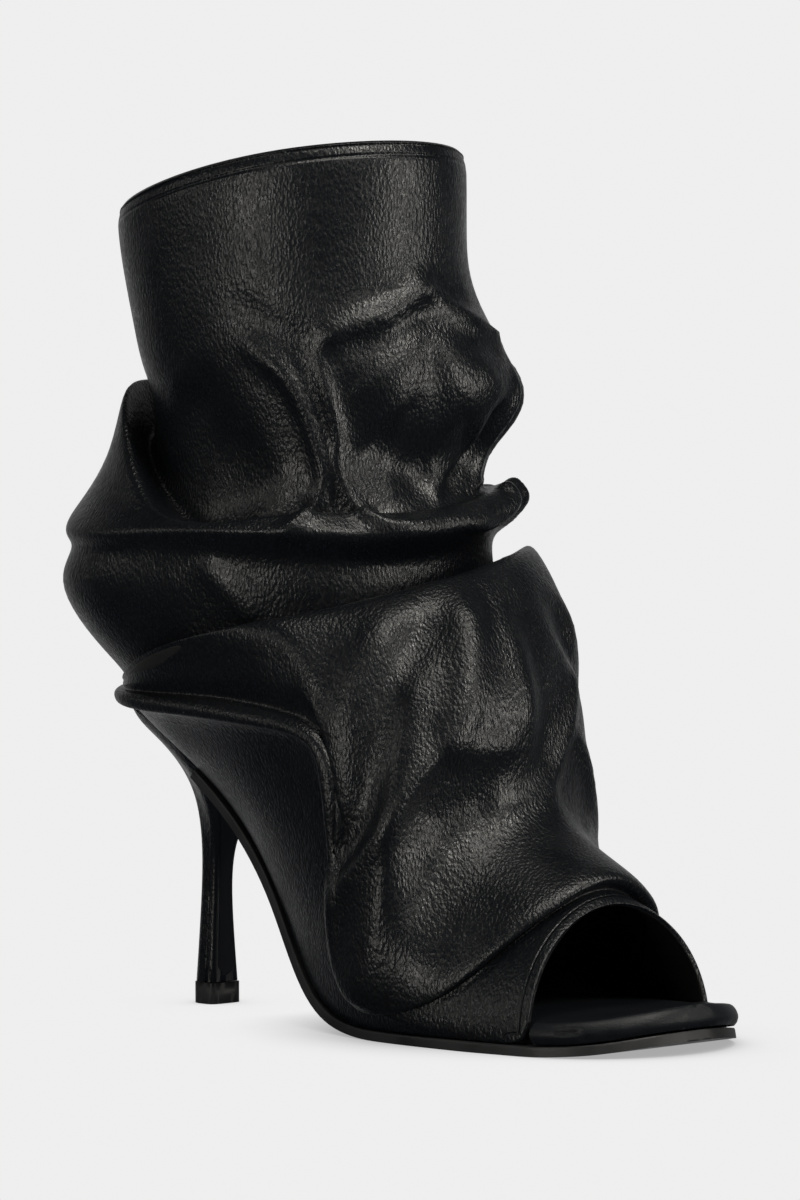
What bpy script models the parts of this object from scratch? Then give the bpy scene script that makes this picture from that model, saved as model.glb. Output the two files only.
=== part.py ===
"""Peep toe ankle boot for the right foot: slouched leather upper on a tall covered heel.

The toe points along +X, +Z is up and the wearer's left is +Y. The origin is the middle of the
heel tip's floor face. All lengths are in metres. Tables hold shares of the named sizes.
"""
import math

import bmesh
import bpy
import numpy as np

# Driving dimensions
LENGTH = 0.227            # back of the heel seat to the toe tip
BALL_WIDTH = 0.081        # outer edge to inner edge of the sole at the ball
HEEL_HEIGHT = 0.094       # floor to the back of the heel seat
LEG_HEIGHT = 0.169        # heel seat to the front of the collar
LEG_RADIUS = 0.0535       # mean radius of the collar
INSTEP_HEIGHT = 0.047     # floor to the hem over the toes
HEEL_OVERHANG = 0.024     # back of the heel seat behind the middle of the tip
LEG_CENTRE = 0.036        # middle of the shaft ahead of the middle of the tip
LEATHER = 0.0016          # wall of the upper
INNER_FULLNESS = 0.65     # how far the drape stands out on the inner side, against the outer
INNER_HOLLOW = 0.12       # the same half way down, where the inner side is hollow
CLEARANCE = 0.0003        # between pieces that meet
EDGE_LIFT = 0.0012        # more room under the upper's edge on the curved waist
INSOLE_INSET = 0.0042     # edge of the sole to the insole inside the upper
SHARPEST_END = 0.0008     # half width where the insole ends

# Sole, insole and open toe
OUTSOLE_THICKNESS = 0.003
INSOLE_THICKNESS = 0.0035
LIP_THICKNESS = 0.0072    # insole ahead of the upper
SOLE_MARGIN = 0.0010      # sole standing out past the upper
OPENING_FROM_TIP = 0.0315 # toe tip back to the ends of the opening
OPENING_RISE = 0.0375     # sole to the top of the opening's edge
OPENING_LEAN = 0.002      # top of the opening's edge behind its ends
TOE_SKEW = 0.0025         # toe tip towards the inner side of the foot
OUTSOLE_ROUND = 0.0006    # radius of the outsole's top edge
OUTSOLE_INSET = 0.0016    # outsole's edge behind the insole's at the open toe
END_GAP = 0.0004          # flat end of the sole and insole short of the toe tip
INSOLE_ROUND = 0.0008     # radius of the insole's top edge inside the upper
LIP_ROUND = 0.0042        # radius of the insole's top edge ahead of the upper

# Heel
HEEL_SEAT_LENGTH = 0.043  # back of the seat to the breast
TIP_LENGTH = 0.0117
TIP_WIDTH = 0.0127
TIP_THICKNESS = 0.0065
TIP_STEP = 0.0004         # tip standing out past the block

# Mesh fineness
COLUMNS = 56
FACET = 0.0100            # length of a facet down the upper

HEEL_BACK = -HEEL_OVERHANG
TOE_TIP = HEEL_BACK + LENGTH
OPENING_X = TOE_TIP - OPENING_FROM_TIP
BREAST_X = HEEL_BACK + HEEL_SEAT_LENGTH
SEAT_MIDDLE = HEEL_BACK + 0.6 * HEEL_SEAT_LENGTH

# Half widths as shares of the ball width, and how far the sole rises above its flat forefoot as
# a share of the heel height, at shares of the length. Right is the outer side of this boot.
SOLE_SECTIONS = (
    # along, right, left, rise
    (0.000, 0.330, 0.330, 0.968),
    (0.087, 0.330, 0.330, 0.925),
    (0.188, 0.315, 0.310, 0.762),
    (0.271, 0.290, 0.260, 0.588),
    (0.332, 0.300, 0.250, 0.420),
    (0.397, 0.355, 0.275, 0.222),
    (0.450, 0.410, 0.310, 0.095),
    (0.507, 0.455, 0.365, 0.025),
    (0.580, 0.490, 0.430, 0.000),
    (0.660, 0.505, 0.485, 0.000),
    (0.760, 0.500, 0.515, 0.000),
    (0.856, 0.465, 0.508, 0.000),
    (0.925, 0.465, 0.478, 0.008),
    (1.000, 0.465, 0.470, 0.045),
)

# Rows down the leg, in eight directions round the shaft. Reach is a share of the leg radius,
# height is a share of the leg height above the heel seat.
LEG_REACH = (
    # name, front, front_right, right, back_right, back, back_left, left, front_left
    ("collar", 1.065, 0.995, 0.935, 0.995, 1.065, 0.995, 0.935, 0.995),
    ("shaft_high", 1.060, 0.990, 0.925, 0.970, 1.040, 0.985, 0.925, 0.995),
    ("shaft_middle", 1.080, 0.985, 0.900, 0.905, 0.970, 0.955, 0.930, 1.060),
    ("shaft_bulge", 1.180, 0.970, 0.850, 0.850, 0.900, 0.910, 0.980, 1.300),
    ("pocket_wall", 1.050, 0.905, 0.740, 0.780, 0.850, 0.860, 0.920, 1.080),
    ("pocket_floor", 1.080, 0.940, 0.750, 0.820, 0.910, 0.930, 0.970, 1.090),
    ("ring_crest", 1.150, 1.080, 0.990, 0.960, 1.020, 1.040, 1.090, 1.250),
    ("ring_wall", 1.230, 1.150, 1.060, 1.060, 1.120, 1.120, 1.150, 1.310),
    ("ring_belly", 1.260, 1.190, 1.120, 1.310, 1.360, 1.280, 1.190, 1.320),
    ("ring_tuck", 1.120, 1.080, 1.060, 1.250, 1.310, 1.220, 1.100, 1.180),
    ("band", 1.120, 1.080, 1.060, 1.340, 1.360, 1.270, 1.130, 1.140),
    ("drape_pocket", 1.150, 1.030, 0.900, 1.000, 1.090, 1.060, 1.040, 1.200),
    ("drape_crest", 1.400, 1.210, 1.050, 0.965, 1.100, 1.080, 1.180, 1.330),
)
LEG_RISE = (
    # name, front, front_right, right, back_right, back, back_left, left, front_left
    ("collar", 1.000, 0.982, 0.938, 0.894, 0.876, 0.894, 0.938, 0.982),
    ("shaft_high", 0.850, 0.845, 0.830, 0.805, 0.795, 0.805, 0.830, 0.845),
    ("shaft_middle", 0.720, 0.715, 0.700, 0.690, 0.690, 0.690, 0.705, 0.715),
    ("shaft_bulge", 0.590, 0.590, 0.580, 0.610, 0.620, 0.600, 0.570, 0.560),
    ("pocket_wall", 0.430, 0.430, 0.440, 0.520, 0.550, 0.510, 0.450, 0.450),
    ("pocket_floor", 0.345, 0.322, 0.320, 0.440, 0.500, 0.440, 0.370, 0.385),
    ("ring_crest", 0.352, 0.345, 0.350, 0.560, 0.600, 0.550, 0.410, 0.405),
    ("ring_wall", 0.335, 0.330, 0.338, 0.430, 0.480, 0.440, 0.375, 0.392),
    ("ring_belly", 0.310, 0.308, 0.312, 0.320, 0.370, 0.350, 0.340, 0.370),
    ("ring_tuck", 0.272, 0.268, 0.282, 0.285, 0.300, 0.295, 0.290, 0.320),
    ("band", 0.225, 0.215, 0.200, 0.210, 0.220, 0.215, 0.230, 0.270),
    ("drape_pocket", 0.165, 0.115, 0.062, 0.070, 0.090, 0.095, 0.140, 0.210),
    ("drape_crest", 0.250, 0.172, 0.103, 0.046, 0.060, 0.080, 0.180, 0.290),
)

# Stations round the boot. The column is the place in the mesh, the angle is the direction round
# the leg, foot is the place of the lower edge along the sole. The hem of the drape is given by
# along (share of length), across (share of ball width) and its height above the floor, the sum of
# a share of the instep height and a share of the heel height. The hem's roll, the drape's approach
# to it, its forward lean at two levels and its puff at three are shares of the ball width.
STATIONS = (
    # name, column, angle, foot, along, across, instep, rise, roll, approach, lean x2, puff x3
    ("front", 0, 0, 0.861, 0.838, 0.000, 0.980, 0.000,
     0.050, 0.330, 0.150, 0.050, 0.020, 0.040, -0.080),
    ("toe", 4, 16, 0.861, 0.812, 0.300, 0.760, 0.000,
     0.045, 0.310, 0.160, 0.050, 0.020, 0.040, -0.080),
    ("corner", 7, 26, 0.861, 0.710, 0.520, 0.280, 0.000,
     0.020, 0.220, 0.170, 0.080, 0.050, 0.030, -0.020),
    ("ball", 9, 33, 0.740, 0.610, 0.560, 0.170, 0.000,
     0.010, 0.100, 0.180, 0.180, 0.050, 0.030, 0.010),
    ("dive", 11, 40, 0.650, 0.554, 0.570, 0.170, 0.180,
     0.030, 0.070, 0.160, 0.170, 0.040, 0.030, 0.015),
    ("fold", 13, 47, 0.575, 0.560, 0.590, 0.170, 0.540,
     0.036, 0.060, 0.100, 0.060, 0.030, 0.020, 0.015),
    ("bend", 15, 55, 0.495, 0.542, 0.615, 0.100, 0.862,
     0.036, 0.060, 0.030, 0.030, 0.015, 0.010, 0.010),
    ("side", 18, 76, 0.365, 0.385, 0.630, 0.000, 0.970,
     0.045, 0.075, 0.000, 0.000, 0.000, 0.000, 0.010),
    ("quarter", 22, 108, 0.175, 0.190, 0.600, 0.000, 1.000,
     0.045, 0.055, 0.000, 0.000, 0.000, 0.000, 0.005),
    ("heel", 25, 143, 0.060, 0.062, 0.330, 0.000, 1.035,
     0.025, 0.030, 0.000, 0.000, 0.000, 0.000, 0.000),
    ("back", 28, 180, 0.000, 0.002, 0.000, 0.000, 1.048,
     0.020, 0.030, 0.000, 0.000, 0.000, 0.000, 0.000),
)
STATION_COLUMNS = ("angle", "foot", "along", "across", "instep", "rise", "roll", "approach",
                   "lean_high", "lean_middle", "puff_high", "puff_middle", "puff_low")
CROSSING_COLUMNS = ("angle", "across")  # these change sign at the front and the back

# Levels of the drape between its crest and its hem, as shares of the way down.
DRAPE_LEVELS = (("high", 0.34), ("middle", 0.68))

# The hem's roll and the tuck behind it, as shares of the roll outwards and over the edge.
HEM_ROLL = ((1.00, -0.70), (0.55, 0.30))
HEM_TUCK = (-0.35, -0.10)
UNDERLAYER_PUFF = 0.1     # share of the roll that the layer under the hem stands out

# Rings down the heel block: the drop from the seat as a share of the block's height, then
# shares of the way from the tip's size to the seat's size.
HEEL_RINGS = (
    # drop, back, breast, width
    (0.000, 1.000, 1.000, 1.000),
    (0.045, 0.900, 0.860, 0.900),
    (0.110, 0.560, 0.600, 0.620),
    (0.190, 0.270, 0.370, 0.330),
    (0.280, 0.060, 0.170, 0.100),
    (0.380, -0.060, 0.020, -0.040),
    (0.520, -0.115, -0.050, -0.100),
    (0.700, -0.090, -0.050, -0.085),
    (1.000, 0.000, 0.000, 0.000),
)


def smooth(table_x, table_y, x, flat_ends=False):
    """Reads a table between its rows with a curve that never overshoots them."""
    tx = np.asarray(table_x, float)
    ty = np.asarray(table_y, float)
    step = np.diff(tx)
    slope = np.diff(ty) / step
    tangent = np.zeros(len(tx))
    for i in range(1, len(tx) - 1):
        if slope[i - 1] * slope[i] > 0:
            tangent[i] = 2 * slope[i - 1] * slope[i] / (slope[i - 1] + slope[i])
    if not flat_ends:
        tangent[0], tangent[-1] = slope[0], slope[-1]
    x = np.clip(np.asarray(x, float), tx[0], tx[-1])
    k = np.clip(np.searchsorted(tx, x, side="right") - 1, 0, len(tx) - 2)
    h = step[k]
    t = (x - tx[k]) / h
    rise = ty[k] * (1 + 2 * t) * (1 - t) ** 2 + ty[k + 1] * t * t * (3 - 2 * t)
    return rise + h * (tangent[k] * t * (1 - t) ** 2 + tangent[k + 1] * t * t * (t - 1))


def through(knots, points, at):
    """A smooth open curve through points given at knots, read at other places."""
    t = np.asarray(knots, float)
    p = np.asarray(points, float)
    n = len(t)
    h = np.diff(t)
    matrix = np.zeros((n, n))
    right = np.zeros((n,) + p.shape[1:])
    matrix[0, 0] = matrix[-1, -1] = 1.0
    for i in range(1, n - 1):
        matrix[i, i - 1:i + 2] = h[i - 1], 2 * (h[i - 1] + h[i]), h[i]
        right[i] = 6 * ((p[i + 1] - p[i]) / h[i] - (p[i] - p[i - 1]) / h[i - 1])
    bend = np.linalg.solve(matrix, right.reshape(n, -1)).reshape(right.shape)
    at = np.asarray(at, float)
    k = np.clip(np.searchsorted(t, at, side="right") - 1, 0, n - 2)
    shape = (-1,) + (1,) * (p.ndim - 1)
    a = ((t[k + 1] - at) / h[k]).reshape(shape)
    b = 1 - a
    hk = h[k].reshape(shape)
    return (a * p[k] + b * p[k + 1]
            + ((a ** 3 - a) * bend[k] + (b ** 3 - b) * bend[k + 1]) * hk ** 2 / 6)


def round_trip(knots, values, at, turn):
    """The same for a curve that closes on itself after one turn."""
    knots = np.asarray(knots, float)
    values = np.asarray(values, float)
    knots = np.concatenate([knots - turn, knots, knots + turn])
    return through(knots, np.concatenate([values] * 3), at)


def column(rows, index):
    return [row[index] for row in rows]


def sole_top(x):
    """Height of the outsole's top, which is also the seat of the heel."""
    along = (np.asarray(x, float) - HEEL_BACK) / LENGTH
    rise = smooth(column(SOLE_SECTIONS, 0), column(SOLE_SECTIONS, 3), along)
    return OUTSOLE_THICKNESS + HEEL_HEIGHT * rise


def sole_edge(x, side):
    """Edge of the sole across the foot. Side is -1 on the right and 1 on the left."""
    x = np.asarray(x, float)
    along = (x - HEEL_BACK) / LENGTH
    share = smooth(column(SOLE_SECTIONS, 0), column(SOLE_SECTIONS, 1 if side < 0 else 2), along)
    heel = np.clip((SEAT_MIDDLE - x) / (SEAT_MIDDLE - HEEL_BACK), 0, 1)
    toe = np.clip((x - OPENING_X) / OPENING_FROM_TIP, 0, 1)
    round_end = np.sqrt(np.clip(1 - heel ** 2, 0, 1)) * np.sqrt(np.clip(1 - toe ** 2, 0, 1))
    return side * share * BALL_WIDTH * round_end + TOE_SKEW * toe


def waist(x):
    """One on the steep waist of the sole and none at the seat and the ball."""
    along = (x - HEEL_BACK) / LENGTH
    return float(smooth([0.0, 0.14, 0.24, 0.46, 0.55, 1.0], [0, 0, 1, 1, 0, 0], along))


def clear_scene():
    for thing in list(bpy.data.objects):
        bpy.data.objects.remove(thing, do_unlink=True)


def make_collection(name):
    group = bpy.data.collections.new(name)
    bpy.context.scene.collection.children.link(group)
    return group


def make_material(name, colour, roughness):
    material = bpy.data.materials.new(name)
    material.use_nodes = True
    shader = material.node_tree.nodes["Principled BSDF"]
    shader.inputs["Base Color"].default_value = (*colour, 1.0)
    shader.inputs["Roughness"].default_value = roughness
    shader.inputs["Metallic"].default_value = 0.0
    return material


def grid_object(name, rows, material, group, around=False, capped=False):
    """Loft through rows of points. Around closes each row, capped fills the two end rows."""
    mesh = bpy.data.meshes.new(name)
    bm = bmesh.new()
    rings = [[bm.verts.new(tuple(point)) for point in row] for row in rows]
    for low, high in zip(rings, rings[1:]):
        count = len(low)
        for i in range(count if around else count - 1):
            j = (i + 1) % count
            bm.faces.new((low[i], low[j], high[j], high[i]))
    if capped:
        bm.faces.new(list(reversed(rings[0])))
        bm.faces.new(rings[-1])
    bm.to_mesh(mesh)
    bm.free()
    mesh.materials.append(material)
    thing = bpy.data.objects.new(name, mesh)
    group.objects.link(thing)
    mesh.shade_smooth()
    return thing


def thicken(thing, thickness, offset):
    wall = thing.modifiers.new("wall", "SOLIDIFY")
    wall.thickness = thickness
    wall.offset = offset
    return wall


def leg_rows(angles):
    """The rows of the leg table as rings of points at the given angles."""
    knots = [0, 45, 90, 135, 180, 225, 270, 315]
    rings = []
    for reach_row, rise_row in zip(LEG_REACH, LEG_RISE):
        reach = LEG_RADIUS * round_trip(knots, reach_row[1:], angles, 360)
        rise = HEEL_HEIGHT + LEG_HEIGHT * round_trip(knots, rise_row[1:], angles, 360)
        turn = np.radians(angles)
        rings.append(np.stack([LEG_CENTRE + reach * np.cos(turn), -reach * np.sin(turn), rise], 1))
    return rings


def station_values():
    """The station table read at every column, mirrored to the left side."""
    half = COLUMNS // 2
    knots = column(STATIONS, 1)
    at = np.arange(half + 1)
    values = {}
    for index, name in enumerate(STATION_COLUMNS):
        data = smooth(knots, column(STATIONS, index + 2), at, name not in CROSSING_COLUMNS)
        values[name] = np.concatenate([data, data[-2:0:-1]])
    side = np.concatenate([-np.ones(half + 1), np.ones(half - 1)])
    angle = values["angle"]
    values["angle"] = np.where(side < 0, angle, 360 - angle)
    values["side"] = side
    for name in STATION_COLUMNS[8:]:
        share = INNER_HOLLOW if name.endswith("middle") else INNER_FULLNESS
        values[name] = np.where(side < 0, values[name], values[name] * share)
    return values


def lower_edge(values):
    """The ring where the upper meets the sole and rises over the open toe."""
    corner = STATIONS[2][1]
    points = []
    for i in range(COLUMNS):
        side = values["side"][i]
        steps = min(i, COLUMNS - i)
        if steps < corner:
            turn = math.radians(90) * steps / corner
            y_right = float(sole_edge(OPENING_X, -1)) + SOLE_MARGIN
            y_left = float(sole_edge(OPENING_X, 1)) - SOLE_MARGIN
            middle = (y_right + y_left) / 2
            half = (y_left - y_right) / 2
            base = float(sole_top(OPENING_X)) + CLEARANCE
            points.append((OPENING_X - OPENING_LEAN * math.cos(turn),
                           middle + side * half * math.sin(turn),
                           base + OPENING_RISE * math.cos(turn)))
        else:
            x = HEEL_BACK + values["foot"][i] * LENGTH
            x = max(x, HEEL_BACK + SOLE_MARGIN)
            edge = float(sole_edge(x, side))
            points.append((x, edge - side * min(SOLE_MARGIN, abs(edge)),
                           float(sole_top(x)) + CLEARANCE + EDGE_LIFT * waist(x)))
    return np.array(points)


def unit(vectors):
    return vectors / np.linalg.norm(vectors, axis=1)[:, None]


def away_from_foot(points):
    """Directions out of the foot, from a straight line between the heel and the toes."""
    heel = np.array([0.02 * LENGTH, 0.0, 1.06 * HEEL_HEIGHT])
    toes = np.array([0.65 * LENGTH, 0.0, 0.30 * HEEL_HEIGHT])
    line = toes - heel
    share = np.clip((points - heel) @ line / (line @ line), 0, 1)
    return unit(points - heel - share[:, None] * line)


def make_upper(material, group):
    values = station_values()
    rings = leg_rows(values["angle"])
    crest = rings[-1]
    x = HEEL_BACK + values["along"] * LENGTH
    skew = TOE_SKEW * np.clip((x - HEEL_BACK) / LENGTH - 0.5, 0, 1) * 2
    hem = np.stack([x, values["side"] * values["across"] * BALL_WIDTH + skew,
                    INSTEP_HEIGHT * values["instep"] + HEEL_HEIGHT * values["rise"]], 1)
    along_hem = unit(np.roll(hem, 1, axis=0) - np.roll(hem, -1, axis=0))
    out = away_from_foot(hem)
    out = unit(out - along_hem * np.sum(out * along_hem, axis=1)[:, None])
    over = np.cross(along_hem, out)
    size = {name: (values[name] * BALL_WIDTH)[:, None] for name in STATION_COLUMNS[6:]}
    low = hem - over * size["approach"] + out * size["puff_low"]
    forward = np.array([1.0, 0.0, 0.0])
    for level, share in DRAPE_LEVELS:
        body = crest + (low - crest) * share + forward * size["lean_" + level]
        rings.append(body + away_from_foot(body) * size["puff_" + level])
    rings.append(low)
    for outwards, onwards in HEM_ROLL:
        rings.append(hem + (out * outwards + over * onwards) * size["roll"])
    edge = lower_edge(values)
    tuck = hem + (out * HEM_TUCK[0] + over * HEM_TUCK[1]) * size["roll"]
    rings.append(tuck)
    rings.append((tuck + edge) / 2 + out * size["roll"] * UNDERLAYER_PUFF)
    rings.append(edge)
    rings = np.array(rings)
    spans = np.linalg.norm(np.diff(rings, axis=0), axis=2)
    knots = np.concatenate([[0], np.cumsum(np.sqrt(spans.mean(axis=1)))])
    at = [0.0]
    for i, span in enumerate(np.percentile(spans, 70, axis=1)):
        steps = max(1 if i > 16 else 2, round(span / FACET))
        at += list(np.linspace(knots[i], knots[i + 1], steps + 1)[1:])
    upper = grid_object("upper", through(knots, rings, at), material, group, around=True)
    thicken(upper, LEATHER, -1.0)
    return upper


def slope_normals(x):
    """Directions square to the sole's top, seen from the side."""
    step = 0.0002
    rise = (sole_top(x + step) - sole_top(x - step)) / (2 * step)
    return unit(np.stack([-rise, np.zeros_like(rise), np.ones_like(rise)], 1))


def board(name, x, half_right, half_left, low, high, edge_round, material, group):
    """A sole or board that follows the sole's top between two offsets along its length."""
    normals = slope_normals(x)
    middle = np.stack([x, np.zeros_like(x), sole_top(x)], 1)
    across = np.array([0.0, 1.0, 0.0])
    rows = []
    for i in range(len(x)):
        span = half_left[i] - half_right[i]
        inset = min(edge_round[i], 0.3 * span)
        soft = min(edge_round[i], 0.6 * (high[i] - low[i]))
        arc = [(inset * (1 - math.cos(turn)), soft * (1 - math.sin(turn)))
               for turn in (0.0, math.pi / 6, math.pi / 3, math.pi / 2)]
        middle_y = half_right[i] + span / 2
        corners = [(half_right[i], low[i]), (middle_y, low[i]), (half_left[i], low[i])]
        corners += [(half_left[i] - a, high[i] - b) for a, b in arc]
        corners += [(middle_y, high[i])]
        corners += [(half_right[i] + a, high[i] - b) for a, b in reversed(arc)]
        rows.append([middle[i] + across * y + normals[i] * z for y, z in corners])
    return grid_object(name, rows, material, group, around=True, capped=True)


def sole_stations(start, end, count, round_start):
    """Places along the sole, closer together at a round end."""
    share = np.linspace(0, 1, count)
    late = np.sin(share * math.pi / 2)
    both = (1 - np.cos(share * math.pi)) / 2
    return start + (end - start) * (both if round_start else late)


def make_outsole(material, group):
    x = sole_stations(BREAST_X + CLEARANCE, TOE_TIP - END_GAP, 26, False)
    open_toe = np.clip((x - OPENING_X) / (TOE_TIP - OPENING_X), 0, 1)
    inset = OUTSOLE_INSET * np.clip(4 * open_toe, 0, 1)
    placed = x - OUTSOLE_INSET * open_toe
    zero = np.zeros_like(x)
    return board("outsole", placed, sole_edge(x, -1) + inset, sole_edge(x, 1) - inset,
                 zero - OUTSOLE_THICKNESS, zero, zero + OUTSOLE_ROUND, material, group)


def make_insole(material, group):
    inset = INSOLE_INSET
    x = sole_stations(HEEL_BACK + inset, TOE_TIP - END_GAP, 32, True)
    flare = OPENING_X + CLEARANCE * np.array([2.0, 5.0])
    x = np.sort(np.concatenate([x[np.abs(x - flare.mean()) > 0.0015], flare]))
    lip = (x > flare.mean()).astype(float)
    swell = smooth([0, 0.4, 0.7, 1], [0, 0, 1, 1], (x - HEEL_BACK) / LENGTH)
    aside = inset * (1 - lip) + CLEARANCE * lip
    seat = SEAT_MIDDLE - HEEL_BACK
    stretched = np.where(x < SEAT_MIDDLE, SEAT_MIDDLE - (SEAT_MIDDLE - x) * seat / (seat - inset), x)
    seat_width = float(sole_edge(SEAT_MIDDLE, 1))
    shrink = np.where(x < SEAT_MIDDLE, 1 - inset / seat_width, 1.0)
    aside = np.where(x < SEAT_MIDDLE, 0.0, aside)
    low = np.full_like(x, CLEARANCE)
    high = INSOLE_THICKNESS + (LIP_THICKNESS - INSOLE_THICKNESS) * swell
    right = np.minimum(sole_edge(stretched, -1) * shrink + aside, -SHARPEST_END)
    left = np.maximum(sole_edge(stretched, 1) * shrink - aside, SHARPEST_END)
    edge_round = INSOLE_ROUND + (LIP_ROUND - INSOLE_ROUND) * swell
    return board("insole", x, right, left, low, high, edge_round, material, group)


def heel_ring(back, breast, half_width, height_at):
    """One ring of the heel block: round behind, flat across the breast."""
    points = []
    middle = back + (breast - back) * 0.55
    for i in range(28):
        turn = 2 * math.pi * (i + 0.5) / 28
        c, s = math.cos(turn), math.sin(turn)
        power = 0.35 if c > 0 else 0.95
        x = math.copysign(abs(c) ** power, c)
        y = math.copysign(abs(s) ** (0.45 if c > 0 else 0.95), s)
        x = middle + x * (breast - middle if c > 0 else middle - back)
        points.append((x, y * half_width, height_at(x)))
    return points


def make_heel(material, group):
    foot = TIP_THICKNESS + CLEARANCE
    tip_back, tip_breast = -TIP_LENGTH / 2 + TIP_STEP, TIP_LENGTH / 2 - TIP_STEP
    tip_half = TIP_WIDTH / 2 - TIP_STEP
    seat_half = SOLE_SECTIONS[2][1] * BALL_WIDTH
    rows = []
    for drop, back_share, breast_share, width_share in HEEL_RINGS:
        back = tip_back + (HEEL_BACK - tip_back) * back_share
        breast = tip_breast + (BREAST_X - tip_breast) * breast_share
        half = tip_half + (seat_half - tip_half) * width_share

        def height_at(x, drop=drop, back=back, breast=breast):
            seat_x = HEEL_BACK + (x - back) / (breast - back) * HEEL_SEAT_LENGTH
            seat = float(sole_top(seat_x)) - CLEARANCE
            return seat + (foot - seat) * drop

        rows.append(heel_ring(back, breast, half, height_at))
    return grid_object("heel", rows[::-1], material, group, around=True, capped=True)


def make_heel_tip(material, group):
    rows = [heel_ring(-TIP_LENGTH / 2, TIP_LENGTH / 2, TIP_WIDTH / 2, lambda x, z=z: z)
            for z in (0.0, TIP_THICKNESS)]
    return grid_object("heel_tip", rows, material, group, around=True, capped=True)


def main():
    clear_scene()
    group = make_collection("peep_toe_ankle_boot")
    leather = make_material("black_leather", (0.012, 0.011, 0.012), 0.42)
    lining = make_material("black_lining", (0.014, 0.013, 0.013), 0.60)
    rubber = make_material("black_rubber", (0.016, 0.016, 0.017), 0.65)
    cover = make_material("heel_cover", (0.012, 0.011, 0.012), 0.45)
    lift = make_material("hard_lift", (0.018, 0.018, 0.019), 0.50)
    make_upper(leather, group)
    make_insole(lining, group)
    make_outsole(rubber, group)
    make_heel(cover, group)
    make_heel_tip(lift, group)


main()
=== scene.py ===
"""Looks of the peep toe ankle boot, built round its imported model.

The toe points along +X, +Z is up and the wearer's left is +Y. The origin is the middle of the
heel tip's floor face. Lengths are in metres unless a name ends in mm.
"""
import math

import bmesh
import bpy
import numpy as np
from mathutils import Matrix, Vector
from mathutils.bvhtree import BVHTree
from mathutils.kdtree import KDTree


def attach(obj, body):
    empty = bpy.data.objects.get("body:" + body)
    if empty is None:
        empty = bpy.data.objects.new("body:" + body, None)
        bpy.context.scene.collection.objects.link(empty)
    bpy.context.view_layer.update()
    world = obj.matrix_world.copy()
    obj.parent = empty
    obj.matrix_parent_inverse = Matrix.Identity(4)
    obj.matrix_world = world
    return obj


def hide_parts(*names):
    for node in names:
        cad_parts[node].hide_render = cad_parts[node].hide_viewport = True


bl_info = {
    "name": "Peep toe ankle boot",
    "version": (1, 0, 0),
    "blender": (4, 5, 0),
    "location": "View3D > Sidebar > Boot",
    "description": "Dresses the packed boot in grained leather, lining, sole and covered heel",
    "category": "Object",
}

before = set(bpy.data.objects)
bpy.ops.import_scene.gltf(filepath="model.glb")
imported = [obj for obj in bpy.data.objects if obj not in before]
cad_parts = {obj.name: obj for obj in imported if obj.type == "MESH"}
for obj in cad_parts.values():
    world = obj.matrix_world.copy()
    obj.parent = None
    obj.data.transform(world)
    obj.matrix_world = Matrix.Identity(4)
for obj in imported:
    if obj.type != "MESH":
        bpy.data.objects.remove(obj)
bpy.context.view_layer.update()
BODY = "root"
MM = 0.001
TOE_OPENING_START = 0.165         # the upper's lower edge is the open toe's ahead of this
CORNER_ANGLE = math.radians(42)   # edges of the hard pieces that are this steep stay sharp
HELD = "crease_edge"              # Blender's name for edges that a subdivision keeps
SUBDIVISIONS = 2
LIFT_SUBDIVISIONS = 1

# The photograph's view: where the camera looks, its direction, distance and lens
TARGET = Vector((0.0836, -0.0003, 0.12625))
VIEW_AZIMUTH = math.radians(45.89)
VIEW_HEIGHT = math.radians(1.51)
VIEW_ROLL = math.radians(-0.21)
VIEW_DISTANCE = 1.4902
VIEW_LENS = 150.03
SENSOR_HEIGHT = 36.0

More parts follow.
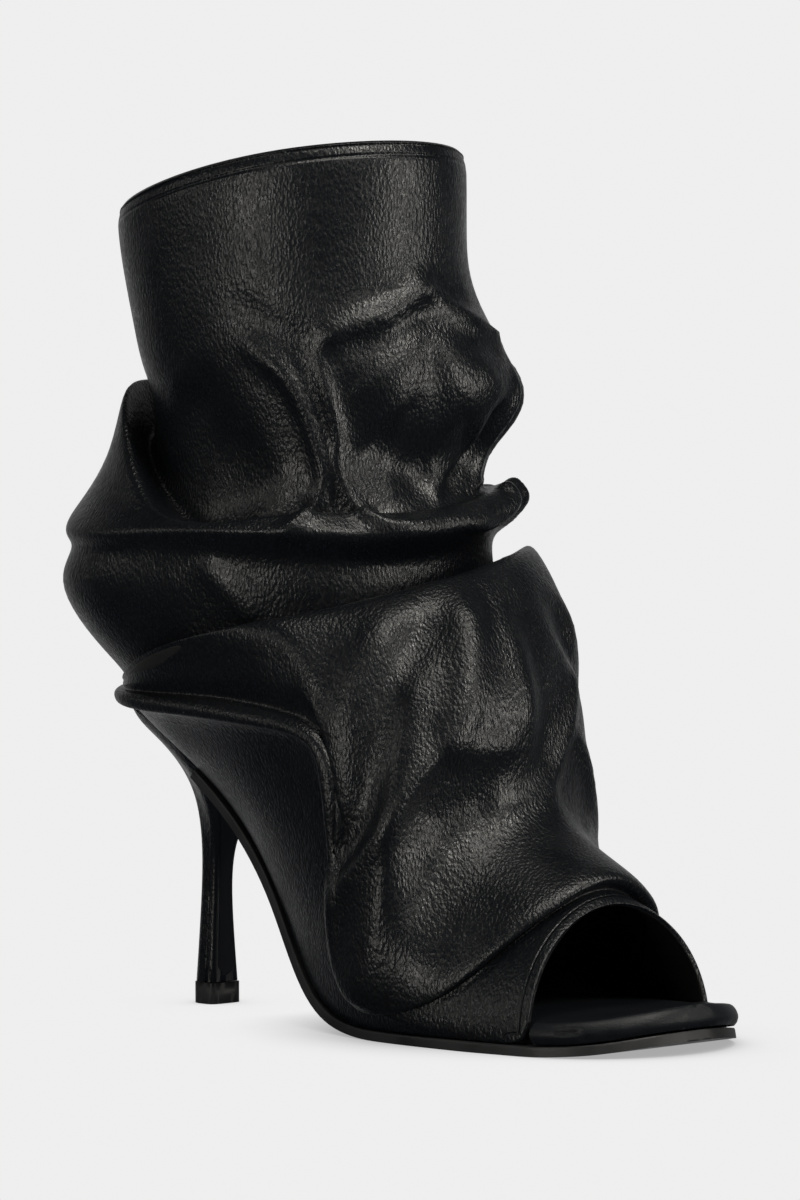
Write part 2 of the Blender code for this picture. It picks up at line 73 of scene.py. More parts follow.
# Creases of the upper, drawn on a sheet that stands at the camera's target and faces the camera.
# Across and up are in mm from the target. Height is positive for a ridge and negative for a
# trough, width is how far it fades to either side, and peak is 2 for a soft crease and less for
# a crisp one. Both walls of the leather move together. The inner side of the boot takes the same
# creases, lower and without some of them.
CREASES = (
    # name, height, width, peak, ((across, up), ...)
    ("shaft swag", 2.8, 2.8, 1.7,
     ((-28, 78), (-22, 79), (-15.5, 81), (-7, 84), (1, 88.5), (7, 93), (11, 97))),
    ("under swag", -1.3, 4.6, 2.0, ((-20, 75), (-14, 76), (-5, 77.5), (4, 81), (12, 87), (20, 93))),
    ("swag root", -1.0, 4.6, 2.0, ((-52, 92), (-49, 89), (-41, 83), (-32, 78), (-24, 75))),
    ("left rim", 2.8, 2.8, 1.8,
     ((-52, 80), (-48, 77.5), (-35.5, 68), (-29, 57.5), (-24.5, 44), (-23, 37), (-24, 30),
      (-28, 25), (-35, 21), (-44, 20))),
    ("left bowl", -2.8, 12.0, 2.4, ((-66, 66), (-60, 58), (-54, 48), (-46, 34), (-40, 26))),
    ("right rim", 2.8, 2.9, 1.8,
     ((-26, 78), (-24, 70), (-22, 62), (-19, 50), (-18.5, 40), (-15, 30), (-7, 23.5), (3, 22),
      (12, 24), (20, 27))),
    ("middle puff", 1.0, 9.0, 2.2, ((-10, 68), (-4.5, 61), (0, 54))),
    ("middle hollow", -1.1, 4.2, 2.0, ((8, 80), (11, 70), (12, 60), (9, 47), (4, 40))),
    ("right bowl", -2.6, 7.5, 2.2, ((-10, 50), (-2, 43), (6, 38), (12, 36))),
    ("slit", -3.2, 2.2, 1.8, ((32, 60), (29, 56), (23, 45), (15.5, 34), (12, 30))),
    ("slit lip", 1.0, 2.0, 1.9, ((32, 52), (28, 46), (23, 36), (20, 32))),
    ("vamp corner ridge", 1.3, 5.0, 2.0,
     ((10, 0), (2, -3), (-7, -12), (-14, -22), (-18, -34), (-20, -44))),
    ("vamp left valley", -4.0, 6.6, 2.2,
     ((13, 2), (10, -3.6), (4, -13), (-2.7, -27), (-7, -43), (-13, -66), (-18, -79), (-21, -87))),
    ("vamp spine", 3.0, 5.6, 2.2,
     ((18.5, 6), (19.4, -1.5), (20.6, -14), (20, -27), (17, -38), (13, -48))),
    ("vamp crest", 2.8, 3.9, 1.8,
     ((18, -38), (12, -44), (6, -51), (0.6, -58), (-6, -70), (-14, -80), (-21, -94), (-24, -100))),
    ("vamp spine foot", 1.5, 4.0, 1.9, ((10, -45), (16, -45), (24, -44.5), (31, -44), (37, -42))),
    ("vamp crest hollow", -1.2, 8.0, 2.3, ((8, -72), (14, -66), (21, -63), (29, -64))),
    ("vamp right valley", -1.0, 7.0, 2.2, ((27, 6), (29, 0), (32, -14), (34, -26), (38, -36))),
    ("vamp edge valley", -0.8, 5.5, 2.1,
     ((50, -16), (48, -27), (42, -46), (37, -62), (28, -72), (22, -77))),
    ("vamp edge ridge", 0.9, 3.0, 1.9, ((53, -12), (52.5, -21), (51.5, -34), (48, -47), (44, -62))),
    ("band ridge", 1.2, 4.5, 1.8, ((-60, 13), (-52, 4), (-41, -7))),
)
OUTER_SIDE_ONLY = ("vamp spine", "vamp spine foot", "vamp right valley", "vamp edge valley",
                   "vamp edge ridge", "slit", "slit lip")
INNER_SIDE_SHARE = 0.8            # height of a crease on the inner side, as a share
CREASE_REACH = 3.0                # widths from its line beyond which a crease is nothing
CREASE_FADE = 0.22                # share of a crease's length over which each end fades
SHEET_REACH = 3.0                 # how far from the camera the sheet's points look for the boot
CURL_REACH = 1.4                  # widths of its turned edge over which the collar curls inwards

# Seams drawn on the same sheet: the insole leather's edge at its lip and inside the upper, and
# the seam of the heel counter
SOCK_EDGE = ((41.7, -121.3), (49, -120.4), (59.6, -118.3))
LINING_EDGE = ((56.6, -118.9), (67, -116.2), (78, -112.6))
COUNTER_SEAM = ((-66, -30), (-63, -37), (-59, -47), (-55, -54.5))

# Grooves in a material: the mark that says how far a point is from a line, and in mm the
# distance at which the groove lies, its half width and its depth, negative for a ridge
SOCK_GROOVE = ("from_sock_edge", 0.0, 0.6, -0.4)
SEAM_GROOVE = ("from_seam", 0.0, 0.5, 0.25)
BREAST_GROOVE = ("from_breast", 2.2, 0.4, 0.25)

# How the insole's edge rolls under ahead of the upper
ROLL_DEPTH = 1.7 * MM             # how far its foot is drawn in
ROLL_HEIGHT = 3.4 * MM            # how high above its foot the roll begins
ROLL_START = 8.0 * MM             # length over which the roll grows from the open toe's ends
SIDE_FACING = 0.2                 # how far a point has to face sideways to be drawn in

# Softboxes that stand round the boot and face it. Turn is the angle to the right of the camera's
# line and height the angle above the floor, both in degrees.
LIGHT_AIM = Vector((0.07, 0.0, 0.13))
LIGHT_COLOUR = (1.0, 0.97, 0.90)
LIGHTS = (
    # name, turn, height, distance, (width, height), power in watts
    ("left softbox", -38, 4, 1.6, (0.45, 0.6), 5.5),
    ("right softbox", 71, 3, 1.6, (0.45, 0.6), 8.5),
    ("high softbox", 44, 42, 1.6, (0.4, 0.35), 13),
    ("front softbox", 22, 20, 1.55, (0.35, 0.2), 1.0),
    ("top softbox", 5, 66, 1.6, (0.8, 0.4), 9),
    ("side softbox", -86, 18, 1.6, (0.5, 0.5), 1.6),
)

# The room's light: the backdrop's ahead of the camera, and how dim it is behind the camera
BACKDROP_LEVEL = 0.6
ROOM_LEVEL = 0.01
BACKDROP_ENDS = (-0.98, -0.62)    # cosines to the camera's back between which it fades
SHADE_REACH = 0.035               # how near the boot has to be to shade the floor
SHADE_LEVEL = 0.45                # brightness of the floor in full shade
FLOOR_HALF_SIZE = 6.0


class BootSizes(bpy.types.PropertyGroup):
    grain_mm: bpy.props.FloatProperty(
        name="Grain", description="Width of a pebble of the leather's grain in mm",
        default=1.2, min=0.2, max=5.0)
    grain_depth_mm: bpy.props.FloatProperty(
        name="Grain depth", description="Depth of the grain in mm", default=0.18, min=0.0, max=1.0)
    binding_mm: bpy.props.FloatProperty(
        name="Toe binding", description="Width of the turned edge of the open toe in mm",
        default=3.0, min=1.0, max=6.0)
    topline_mm: bpy.props.FloatProperty(
        name="Topline", description="Width of the turned edge of the collar in mm",
        default=4.8, min=1.0, max=9.0)
    topline_curl_mm: bpy.props.FloatProperty(
        name="Topline curl", description="How far the collar's edge curls inwards in mm",
        default=1.3, min=0.0, max=3.0)


class BootColours(bpy.types.PropertyGroup):
    # near-black leather with a blue cast that is painted light: the cool tint of the room's light,
    # put into the colour
    leather: bpy.props.FloatVectorProperty(
        name="Leather", description="Colour of the upper, the insole and the heel cover",
        subtype="COLOR", size=3, min=0.0, max=1.0, default=(0.0038, 0.0048, 0.0066))
    lining: bpy.props.FloatVectorProperty(
        name="Lining", description="Colour of the upper's lining", subtype="COLOR",
        size=3, min=0.0, max=1.0, default=(0.010, 0.0095, 0.0095))
    rubber: bpy.props.FloatVectorProperty(
        name="Sole", description="Colour of the outsole and the lift", subtype="COLOR",
        size=3, min=0.0, max=1.0, default=(0.012, 0.012, 0.013))
    floor: bpy.props.FloatVectorProperty(
        name="Floor", description="Colour of the floor and the backdrop", subtype="COLOR",
        size=3, min=0.0, max=1.0, default=(0.86, 0.86, 0.86))


def camera_axes():
    """Right, up and back of the camera, and where it stands."""
    back = Vector((math.sin(VIEW_AZIMUTH) * math.cos(VIEW_HEIGHT),
                   -math.cos(VIEW_AZIMUTH) * math.cos(VIEW_HEIGHT), math.sin(VIEW_HEIGHT)))
    right = (-back).cross(Vector((0, 0, 1))).normalized()
    up = right.cross(-back)
    c, s = math.cos(VIEW_ROLL), math.sin(VIEW_ROLL)
    return right * c + up * s, up * c - right * s, back, TARGET + back * VIEW_DISTANCE


def merged_copy(node):
    """The mesh of a CAD node as a bmesh of welded quads."""
    bm = bmesh.new()
    bm.from_mesh(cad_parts[node].data)
    bmesh.ops.remove_doubles(bm, verts=bm.verts, dist=1e-5)
    bmesh.ops.join_triangles(bm, faces=bm.faces, angle_face_threshold=math.pi,
                             angle_shape_threshold=math.pi)
    return bm


def finish_piece(name, bm, node, materials):
    """Turns a bmesh into a piece of the boot that stands for a CAD node."""
    mesh = bpy.data.meshes.new(name)
    bm.to_mesh(mesh)
    bm.free()
    piece = bpy.data.objects.new(name, mesh)
    bpy.context.scene.collection.objects.link(piece)
    for material in materials:
        mesh.materials.append(material)
    mesh.shade_smooth()
    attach(piece, BODY)
    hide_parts(node)
    return piece


def hold_corners(bm):
    """Keeps the edges between steep faces sharp when the mesh is subdivided."""
    bm.normal_update()
    held = bm.edges.layers.float.new(HELD)
    for edge in bm.edges:
        if len(edge.link_faces) == 2 and edge.calc_face_angle() > CORNER_ANGLE:
            edge[held] = 1.0


def ring_edges(ring):
    """The edges that join the vertices of one ring of the upper."""
    members = set(ring)
    return {e for v in ring for e in v.link_edges if e.other_vert(v) in members}


def hold_ring(bm, ring):
    """Keeps one ring of the upper in place when the mesh is subdivided."""
    held = bm.edges.layers.float.get(HELD)
    for edge in ring_edges(ring):
        edge[held] = 1.0


def apply_subdivision(piece, levels):
    """Subdivides a piece's mesh for good, which leaves no modifier on it."""
    smooth = piece.modifiers.new("smooth", "SUBSURF")
    smooth.levels = smooth.render_levels = levels
    smooth.boundary_smooth = "PRESERVE_CORNERS"
    depsgraph = bpy.context.evaluated_depsgraph_get()
    mesh = bpy.data.meshes.new_from_object(piece.evaluated_get(depsgraph))
    piece.modifiers.clear()
    old = piece.data
    piece.data = mesh
    bpy.data.meshes.remove(old)
    mesh.name = piece.name
    mesh.shade_smooth()


def vertex_values(mesh, name):
    """The places (co) or normals (normal) of a mesh's vertices, a row for each."""
    values = np.empty(len(mesh.vertices) * 3)
    mesh.vertices.foreach_get(name, values)
    return values.reshape(-1, 3)


def surface_tree(mesh):
    """A tree of a mesh's faces, to find where a ray meets them."""
    points = [tuple(p) for p in vertex_values(mesh, "co")]
    return BVHTree.FromPolygons(points, [tuple(p.vertices) for p in mesh.polygons])


def mark(mesh, name, values):
    """Stores one number per vertex for the materials."""
    attribute = mesh.attributes.get(name) or mesh.attributes.new(name, "FLOAT", "POINT")
    attribute.data.foreach_set("value", np.asarray(values, np.float32))


def read_mark(mesh, name):
    """The numbers that mark stored."""
    values = np.empty(len(mesh.vertices), np.float32)
    mesh.attributes[name].data.foreach_get("value", values)
    return values


# What tells the collar's flat rim from the rest of the upper: its faces look up, lie near the
# top, and each spans the wall
RIM_FACING = 0.8
RIM_DROP = 0.03
WALL_MOST = 0.0021


def rings_of_upper(bm):
    """Rings of vertices from the collar's outer edge down the outside and up the inside."""
    bm.normal_update()
    top = max(v.co.z for v in bm.verts)
    rim = [f for f in bm.faces
           if f.normal.z > RIM_FACING and f.calc_center_median().z > top - RIM_DROP]
    points = {v for f in rim for v in f.verts}
    centre = sum((v.co for v in points), Vector()) / len(points)
    reach = {v: (v.co - centre).to_2d().length for v in points}
    ring, seen = [], set()
    for face in rim:
        for edge in face.edges:
            a, b = edge.verts
            if a in points and b in points and edge.calc_length() < WALL_MOST:
                outer, inner = (a, b) if reach[a] > reach[b] else (b, a)
                seen.add(inner)
                if outer not in seen:
                    seen.add(outer)
                    ring.append(outer)
    rings = [ring]
    first_inner = {v for v in seen if v not in set(ring)}
    while True:
        nearby = {e.other_vert(v) for v in rings[-1] for e in v.link_edges} - seen
        if not nearby:
            break
        seen |= nearby
        rings.append(list(nearby))
    rings.append(list(first_inner))
    return rings


def ring_points(ring, count=8):
    """Closely spaced points along the edges of a ring of vertices."""
    return [e.verts[0].co.lerp(e.verts[1].co, i / count)
            for e in ring_edges(ring) for i in range(count)]


def path_points(points, spacing=1.0):
    """A smooth curve through drawn points, as closely spaced points in the same units."""
    p = np.array([points[0], *points, points[-1]], float)
    out = []
    for i in range(1, len(p) - 2):
        a, b, c, d = p[i - 1:i + 3]
        count = max(2, int(np.linalg.norm(c - b) / spacing))
        t = np.linspace(0, 1, count, endpoint=False)[:, None]
        out.append(0.5 * (2 * b + (c - a) * t + (2 * a - 5 * b + 4 * c - d) * t ** 2
                          + (3 * b - a - 3 * c + d) * t ** 3))
    out.append(p[-1:])
    return np.concatenate(out)


def on_surface(tree, points, inner_side=False):
    """Carries points drawn on the sheet to the first surface behind them, seen from the camera
    or, for the inner side, from the camera's mirror image."""
    right, up, _, eye = camera_axes()
    found = []
    for across, height in path_points(points):
        spot = TARGET + right * (across * MM) + up * (height * MM)
        start, direction = eye.copy(), spot - eye
        if inner_side:
            start.y, direction.y = -start.y, -direction.y
        hit = tree.ray_cast(start, direction.normalized(), SHEET_REACH)[0]
        if hit:
            found.append(hit)
    return found


def crease_moves(points, tree, inner_side):
    """How far each point moves outwards for the creases of one side of the boot."""
    share_of_height = INNER_SIDE_SHARE if inner_side else 1.0
    move = np.zeros(len(points))
    for name, height, width, peak, drawn in CREASES:
        if inner_side and name in OUTER_SIDE_ONLY:
            continue
        line = on_surface(tree, drawn, inner_side)
        if len(line) < 2:
            continue
        line = np.array(line)
        share = np.linspace(0, 1, len(line))
        fade = np.clip(np.minimum(share, 1 - share) / CREASE_FADE, 0, 1)
        fade = fade * fade * (3 - 2 * fade)
        reach = CREASE_REACH * width * MM
        near = np.all((points > line.min(0) - reach) & (points < line.max(0) + reach), 1)
        index = np.nonzero(near)[0]
        if not len(index):
            continue
        gap = np.linalg.norm(points[index, None] - line[None], axis=2)
        best = gap.argmin(1)
        distance = gap[np.arange(len(index)), best]
        move[index] += (height * MM * share_of_height * fade[best]
                        * np.exp(-(distance / (width * MM)) ** peak))
    return move


class Wiring:
    """Adds nodes to one new material and joins them."""

    def __init__(self, name):
        self.material = bpy.data.materials.new(name)
        self.material.use_nodes = True
        self.tree = self.material.node_tree
        self.shader = self.tree.nodes["Principled BSDF"]
        self.coordinates = self.add("ShaderNodeTexCoord").outputs["Object"]

    def add(self, kind, inputs=(), **settings):
        """A new node with settings. Each input is another node's output or a value."""
        node = self.tree.nodes.new(kind)
        for key, value in settings.items():
            setattr(node, key, value)
        for key, value in dict(inputs).items():
            if isinstance(value, bpy.types.NodeSocket):
                self.tree.links.new(value, node.inputs[key])
            else:
                node.inputs[key].default_value = value
        return node

    def scaled(self, size, stretch=(1.0, 1.0, 1.0)):
        """Object coordinates counted in steps of size."""
        scale = tuple(1.0 / (size * s) for s in stretch)
        return self.add("ShaderNodeMapping", {
            "Vector": self.coordinates, "Scale": scale}).outputs["Vector"]

    def noise(self, size, roughness=0.5):
        """Cloudy variation from 0 to 1, with blotches of the given size."""
        return self.add("ShaderNodeTexNoise", {
            "Vector": self.scaled(size), "Scale": 1.0, "Detail": 3.0,
            "Roughness": roughness}).outputs["Fac"]

    def ranged(self, value, low, high, to_low, to_high):
        """Carries a value between two limits softly to another range."""
        return self.add("ShaderNodeMapRange", {
            "Value": value, "From Min": low, "From Max": high, "To Min": to_low,
            "To Max": to_high}, interpolation_type="SMOOTHSTEP").outputs["Result"]

    def maths(self, operation, a, b=0.0):
        """One sum of two values, or of one."""
        return self.add("ShaderNodeMath", {0: a, 1: b}, operation=operation).outputs["Value"]

    def toned(self, share, colour, dark, light):
        """The colour times dark where share is 0, up to times light where it is 1."""
        return self.add("ShaderNodeMix", {
            0: share, 6: (*(c * dark for c in colour), 1), 7: (*(c * light for c in colour), 1)},
            data_type="RGBA").outputs[2]

    def bump(self, height, distance, strength=1.0, normal=None):
        """A normal tilted by a height from 0 to 1 that stands for a distance in metres."""
        inputs = {"Height": height, "Distance": distance, "Strength": strength}
        if normal is not None:
            inputs["Normal"] = normal
        return self.add("ShaderNodeBump", inputs).outputs["Normal"]

    def attribute(self, name):
        """The number that mark stored under a name."""
        return self.add("ShaderNodeAttribute", attribute_name=name).outputs["Fac"]

    def set(self, **values):
        """Sets or joins the shader's sockets, each named with _ for a space."""
        for key, value in values.items():
            socket = self.shader.inputs[key.replace("_", " ")]
            if isinstance(value, bpy.types.NodeSocket):
                self.tree.links.new(value, socket)
            else:
                socket.default_value = value


# Pebbles of the leather's grain: how many times finer than the named size, and their height.
# Their power makes domes of cones, and their warp keeps them from lying too evenly.
PEBBLES = ((1.0, 1.0), (1.9, 0.5))
PEBBLE_TOP = 1.2
PEBBLE_POWER = 1.6
PEBBLE_WARP = 0.35
LEATHER_STRETCH = (0.8, 0.8, 1.5)
LINING_GRAIN_MM = 0.6
LINING_DEPTH_MM = 0.05


def grain(wires, size, stretch=(1, 1, 1)):
    """Height of the leather's grain: domed pebbles of two sizes with sharp wrinkles between."""
    warp = wires.add("ShaderNodeTexNoise", {
        "Vector": wires.scaled(size * 3.0), "Scale": 1.0, "Detail": 3.0}).outputs["Color"]
    moved = wires.add("ShaderNodeMixRGB", {
        "Fac": PEBBLE_WARP, "Color1": wires.scaled(size, stretch), "Color2": warp},
        blend_type="ADD").outputs["Color"]
    domes = []
    for scale, weight in PEBBLES:
        reach = wires.add("ShaderNodeTexVoronoi", {
            "Vector": moved, "Scale": scale, "Smoothness": 0.25, "Randomness": 1.0},
            feature="SMOOTH_F1").outputs["Distance"]
        domes.append(wires.maths("MULTIPLY", wires.maths("POWER", reach, PEBBLE_POWER), -weight))
    return wires.maths("ADD", wires.maths("ADD", domes[0], domes[1]), PEBBLE_TOP)


def leather_material(name, colour, sizes, grooves):
    """Semi-gloss pebbled leather, duller in the wrinkles between the pebbles, its colour darkened
    there as painted shade and lightened on the pebble tops as painted light.
    """
    wires = Wiring(name)
    pebbles = grain(wires, sizes.grain_mm * MM, LEATHER_STRETCH)
    broad = wires.noise(0.012, 0.55)
    # painted shade and light: the colour is darker down in the wrinkles and lighter on the pebble
    # tops, following the grain's height
    tone = wires.toned(wires.ranged(pebbles, 0.5, 1.1, 0.0, 1.0), colour, 0.55, 1.15)
    rough = wires.ranged(broad, 0.3, 0.7, 0.24, 0.30)
    valley = wires.ranged(pebbles, 0.5, 1.0, 0.12, 0.0)
    height = wires.maths("MULTIPLY", pebbles, wires.ranged(broad, 0.25, 0.75, 0.65, 1.15))
    bumped = add_grooves(wires, grooves, wires.bump(height, sizes.grain_depth_mm * MM))
    wires.set(Base_Color=tone, Roughness=wires.maths("ADD", rough, valley), Normal=bumped,
              Specular_IOR_Level=0.4)
    return wires.material


def add_grooves(wires, grooves, normal):
    """Adds grooves or, with a negative depth, ridges along marks to a normal."""
    for mark_name, place, width, depth in grooves:
        line = wires.maths("ABSOLUTE", wires.maths(
            "SUBTRACT", wires.attribute(mark_name), place))
        groove = wires.ranged(line, 0.0, width, 0.0, 1.0)
        if depth < 0:
            groove = wires.maths("SUBTRACT", 1.0, groove)
        normal = wires.bump(groove, abs(depth) * MM, 1.0, normal)
    return normal


def lining_material(name, colour):
    """Smooth satin leather of the lining and the insole, with a ridge along its wrapped edge."""
    wires = Wiring(name)
    fine = grain(wires, LINING_GRAIN_MM * MM)
    broad = wires.noise(0.02)
    bumped = add_grooves(wires, (SOCK_GROOVE,), wires.bump(fine, LINING_DEPTH_MM * MM, 0.8))
    wires.set(Base_Color=(*colour, 1), Roughness=wires.ranged(broad, 0.3, 0.7, 0.42, 0.50),
              Normal=bumped, Specular_IOR_Level=0.25)
    return wires.material


def rubber_material(name, colour):
    """Matt rubber or hard plastic with a fine speckle."""
    wires = Wiring(name)
    speckle = wires.noise(0.0006, 0.6)
    broad = wires.noise(0.015)
    tone = wires.toned(wires.ranged(broad, 0.3, 0.7, 0.0, 1.0), colour, 0.8, 1.3)
    wires.set(Base_Color=tone, Roughness=wires.ranged(broad, 0.3, 0.7, 0.42, 0.55),
              Normal=wires.bump(speckle, 0.04 * MM, 0.7), Specular_IOR_Level=0.4)
    return wires.material


# The heel's front face: how far a face looks forward to belong to it, and in mm the width over
# which its turned edge ends and how high that stands
BREAST_FACING = 0.6
TURNED_EDGE_MM = (1.9, 2.3)
TURNED_DEPTH_MM = 0.3


def breast_material(name, colour):
    """Thin flat leather of the heel's front face, with the cover's turned edge along its sides."""
    wires = Wiring(name)
    turned = wires.ranged(wires.attribute("from_breast"), *TURNED_EDGE_MM, 1.0, 0.0)
    wires.set(Base_Color=(*colour, 1), Roughness=wires.ranged(turned, 0.0, 1.0, 0.75, 0.4),
              Normal=wires.bump(turned, TURNED_DEPTH_MM * MM), Specular_IOR_Level=0.2)
    return wires.material


def make_upper_piece(sizes, colours):
    """The upper: its CAD shell made smooth, creased along the listed lines and marked for its edges
    and seams.
    """
    bm = merged_copy("upper")
    inside = bm.verts.layers.float.new("inside")
    bm.edges.layers.float.new(HELD)
    rings = rings_of_upper(bm)
    half = len(rings) // 2
    for index, ring in enumerate(rings):
        for vert in ring:
            vert[inside] = 0.0 if index < half else 1.0
    collar = ring_points(rings[0])
    lower = ring_points(rings[half - 1])
    hold_ring(bm, rings[half - 1])
    hold_ring(bm, rings[half])
    grooves = (("from_collar", sizes.topline_mm, 0.9, 0.3),
               ("from_opening", sizes.binding_mm, 0.6, 0.3), SEAM_GROOVE)
    leather = leather_material("black grained leather", colours.leather, sizes, grooves)
    lining = lining_material("black lining leather", colours.lining)
    piece = finish_piece("upper_leather", bm, "upper", [leather, lining])
    apply_subdivision(piece, SUBDIVISIONS)
    mesh = piece.data
    points = vertex_values(mesh, "co")
    inner = read_mark(mesh, "inside") > 0.5
    outward = vertex_values(mesh, "normal") * np.where(inner, -1.0, 1.0)[:, None]
    tree = surface_tree(mesh)
    move = crease_moves(points, tree, False) + crease_moves(points, tree, True)
    mark_distance(mesh, "from_collar", collar)
    mark_distance(mesh, "from_opening", [p for p in lower if p.x > TOE_OPENING_START])
    seams = on_surface(tree, COUNTER_SEAM) + on_surface(tree, COUNTER_SEAM, True)
    mark_distance(mesh, "from_seam", seams)
    mark_distance(mesh, "from_sock_edge", on_surface(tree, LINING_EDGE))
    curled = CURL_REACH * sizes.topline_mm
    curl = np.clip(1 - read_mark(mesh, "from_collar") / curled, 0, 1) ** 2
    points += outward * (move - curl * sizes.topline_curl_mm * MM)[:, None]
    mesh.vertices.foreach_set("co", points.ravel())
    is_lining = [all(inner[i] for i in p.vertices) for p in mesh.polygons]
    mesh.polygons.foreach_set("material_index", np.array(is_lining, np.int32))
    mesh.update()


def mark_distance(mesh, name, line):
    """Stores each vertex's distance in mm from a line of points."""
    tree = KDTree(len(line))
    for i, p in enumerate(line):
        tree.insert(p, i)
    tree.balance()
    mark(mesh, name, [tree.find(p)[2] / MM for p in vertex_values(mesh, "co")])


def plain_copy(name, node, material, levels=SUBDIVISIONS):
    """A hard piece: the CAD node with smooth curves and its corners kept."""
    bm = merged_copy(node)
    hold_corners(bm)
    piece = finish_piece(name, bm, node, [material])
    apply_subdivision(piece, levels)
    piece.data.set_sharp_from_angle(angle=CORNER_ANGLE)
    return piece


def round_lip(piece):
    """Draws in the foot of the insole's edge ahead of the upper, so that it ends in a roll."""
    mesh = piece.data
    points = vertex_values(mesh, "co")
    ahead = np.clip((points[:, 0] - TOE_OPENING_START) / ROLL_START, 0, 1)
    column = ((points[:, 0] - points[:, 0].min()) / MM).astype(int)
    foot = np.full(column.max() + 1, np.inf)
    np.minimum.at(foot, column, points[:, 2])
    low = np.clip(1 - (points[:, 2] - foot[column]) / ROLL_HEIGHT, 0, 1)
    side = vertex_values(mesh, "normal") * (1, 1, 0)
    size = np.linalg.norm(side, axis=1)[:, None]
    side = np.where(size > SIDE_FACING, side / np.maximum(size, SIDE_FACING), 0.0)
    points -= side * (ahead * low ** 2 * ROLL_DEPTH)[:, None]
    mesh.vertices.foreach_set("co", points.ravel())
    mesh.update()


def blacken_breast(piece, material):
    """Gives the heel's front face its plain black cover and marks the way from its edge."""
    mesh = piece.data
    mesh.materials.append(material)
    front = [p for p in mesh.polygons if p.normal.x > BREAST_FACING]
    for polygon in front:
        polygon.material_index = 1
    inner = {i for p in front for i in p.vertices}
    outer = {i for p in mesh.polygons if p.material_index == 0 for i in p.vertices}
    mark_distance(mesh, "from_breast", [mesh.vertices[i].co for i in inner & outer])


def place_light(name, turn, height, distance, size, power):
    """A softbox as the table of lights says."""
    right, _, back, _ = camera_axes()
    flat = Vector((back.x, back.y, 0)).normalized()
    side = Vector((right.x, right.y, 0)).normalized()
    a, b = math.radians(turn), math.radians(height)
    towards = ((flat * math.cos(a) + side * math.sin(a)) * math.cos(b)
               + Vector((0, 0, 1)) * math.sin(b))
    data = bpy.data.lights.new(name, "AREA")
    data.shape = "RECTANGLE"
    data.size, data.size_y = size
    data.energy = power
    data.color = LIGHT_COLOUR
    light = bpy.data.objects.new(name, data)
    bpy.context.scene.collection.objects.link(light)
    light.location = LIGHT_AIM + towards * distance
    light.rotation_euler = towards.to_track_quat("Z", "Y").to_euler()


def floor_material(colour):
    """The plain backdrop's glow, dimmed where the boot stands close to the floor."""
    wires = Wiring("pale floor")
    open_sky = wires.add("ShaderNodeAmbientOcclusion", {"Distance": SHADE_REACH}).outputs["AO"]
    glow = wires.add("ShaderNodeEmission", {
        "Color": (*colour, 1), "Strength": wires.ranged(open_sky, 0.0, 1.0, SHADE_LEVEL, 1.0)})
    output = wires.tree.nodes["Material Output"]
    wires.tree.links.new(glow.outputs["Emission"], output.inputs["Surface"])
    return wires.material


def make_room(colour):
    """Pale backdrop behind the boot and a dim room on the camera's side."""
    world = bpy.data.worlds.new("studio")
    bpy.context.scene.world = world
    world.use_nodes = True
    tree = world.node_tree
    background = tree.nodes["Background"]
    back = camera_axes()[2]
    coordinates = tree.nodes.new("ShaderNodeTexCoord")
    facing = tree.nodes.new("ShaderNodeVectorMath")
    facing.operation = "DOT_PRODUCT"
    facing.inputs[1].default_value = back
    tree.links.new(coordinates.outputs["Generated"], facing.inputs[0])
    level = tree.nodes.new("ShaderNodeMapRange")
    for name, value in (("From Min", BACKDROP_ENDS[0]), ("From Max", BACKDROP_ENDS[1]),
                        ("To Min", BACKDROP_LEVEL), ("To Max", ROOM_LEVEL)):
        level.inputs[name].default_value = value
    tree.links.new(facing.outputs["Value"], level.inputs["Value"])
    seen = tree.nodes.new("ShaderNodeLightPath")
    strength = tree.nodes.new("ShaderNodeMath")
    strength.operation = "MAXIMUM"
    tree.links.new(level.outputs["Result"], strength.inputs[0])
    tree.links.new(seen.outputs["Is Camera Ray"], strength.inputs[1])
    tree.links.new(strength.outputs["Value"], background.inputs["Strength"])
    background.inputs["Color"].default_value = (*colour, 1)


def make_floor(colour):
    """The plain pale floor, which glows like the backdrop and isn't mirrored in the leather."""
    bm = bmesh.new()
    bmesh.ops.create_grid(bm, x_segments=2, y_segments=2, size=FLOOR_HALF_SIZE)
    mesh = bpy.data.meshes.new("floor")
    bm.to_mesh(mesh)
    bm.free()
    floor = bpy.data.objects.new("floor", mesh)
    bpy.context.scene.collection.objects.link(floor)
    mesh.materials.append(floor_material(colour))
    floor.visible_glossy = False


def make_camera():
    """The camera at the photograph's place."""
    right, up, back, eye = camera_axes()
    data = bpy.data.cameras.new("camera")
    data.sensor_fit = "VERTICAL"
    data.sensor_height = SENSOR_HEIGHT
    data.lens = VIEW_LENS
    data.clip_end = 50.0
    camera = bpy.data.objects.new("camera", data)
    bpy.context.scene.collection.objects.link(camera)
    turn = Matrix((right, up, back)).transposed()
    camera.matrix_world = Matrix.Translation(eye) @ turn.to_4x4()
    bpy.context.scene.camera = camera


class BOOT_OT_upper(bpy.types.Operator):
    """Makes the leather upper with its folds, creases and lining"""
    bl_idname = "boot.upper"
    bl_label = "Upper"

    def execute(self, context):
        make_upper_piece(context.scene.boot_sizes, context.scene.boot_colours)
        return {"FINISHED"}


class BOOT_OT_insole(bpy.types.Operator):
    """Makes the insole with its wrapped lip at the open toe"""
    bl_idname = "boot.insole"
    bl_label = "Insole"

    def execute(self, context):
        leather = lining_material("black insole leather", context.scene.boot_colours.leather)
        piece = plain_copy("insole_sock", "insole", leather)
        round_lip(piece)
        wrapped = on_surface(surface_tree(piece.data), SOCK_EDGE)
        mark_distance(piece.data, "from_sock_edge", wrapped)
        return {"FINISHED"}


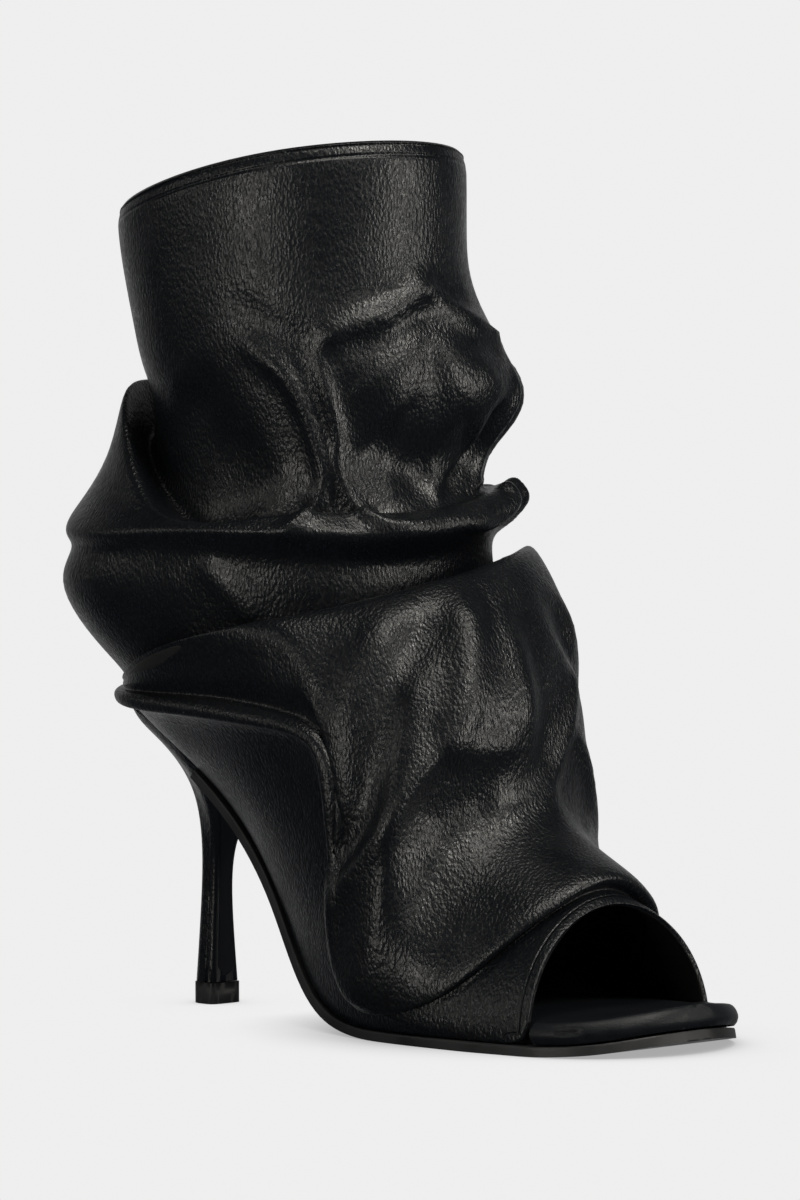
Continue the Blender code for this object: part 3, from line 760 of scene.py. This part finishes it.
class BOOT_OT_sole(bpy.types.Operator):
    """Makes the thin outsole"""
    bl_idname = "boot.sole"
    bl_label = "Outsole"

    def execute(self, context):
        rubber = rubber_material("black sole rubber", context.scene.boot_colours.rubber)
        plain_copy("outsole_rubber", "outsole", rubber)
        return {"FINISHED"}


class BOOT_OT_heel(bpy.types.Operator):
    """Makes the covered heel and its tip"""
    bl_idname = "boot.heel"
    bl_label = "Heel"

    def execute(self, context):
        colours = context.scene.boot_colours
        cover = leather_material("black heel cover", colours.leather, context.scene.boot_sizes,
                                 (BREAST_GROOVE,))
        block = plain_copy("heel_block", "heel", cover)
        blacken_breast(block, breast_material("black heel breast", colours.leather))
        plastic = rubber_material("black hard lift", colours.rubber)
        plain_copy("heel_lift", "heel_tip", plastic, LIFT_SUBDIVISIONS)
        return {"FINISHED"}


class BOOT_OT_stage(bpy.types.Operator):
    """Makes the floor, the light and the camera"""
    bl_idname = "boot.stage"
    bl_label = "Stage"

    def execute(self, context):
        make_floor(context.scene.boot_colours.floor)
        make_room(context.scene.boot_colours.floor)
        for row in LIGHTS:
            place_light(*row)
        make_camera()
        context.scene.view_settings.view_transform = "Standard"
        return {"FINISHED"}


class BOOT_PT_panel(bpy.types.Panel):
    bl_label = "Peep toe ankle boot"
    bl_idname = "BOOT_PT_panel"
    bl_space_type = "VIEW_3D"
    bl_region_type = "UI"
    bl_category = "Boot"

    def draw(self, context):
        for group in (context.scene.boot_sizes, context.scene.boot_colours):
            for name in group.__annotations__:
                self.layout.prop(group, name)
        for operator in OPERATORS:
            self.layout.operator(operator.bl_idname)


OPERATORS = (BOOT_OT_stage, BOOT_OT_upper, BOOT_OT_insole, BOOT_OT_sole, BOOT_OT_heel)
CLASSES = (BootSizes, BootColours, *OPERATORS, BOOT_PT_panel)


def register():
    for item in CLASSES:
        bpy.utils.register_class(item)
    bpy.types.Scene.boot_sizes = bpy.props.PointerProperty(type=BootSizes)
    bpy.types.Scene.boot_colours = bpy.props.PointerProperty(type=BootColours)


def unregister():
    del bpy.types.Scene.boot_sizes
    del bpy.types.Scene.boot_colours
    for item in reversed(CLASSES):
        bpy.utils.unregister_class(item)


def main():
    register()
    bpy.ops.boot.stage()
    bpy.ops.boot.upper()
    bpy.ops.boot.insole()
    bpy.ops.boot.sole()
    bpy.ops.boot.heel()
    bpy.context.view_layer.update()


if __name__ == "__main__":
    main()
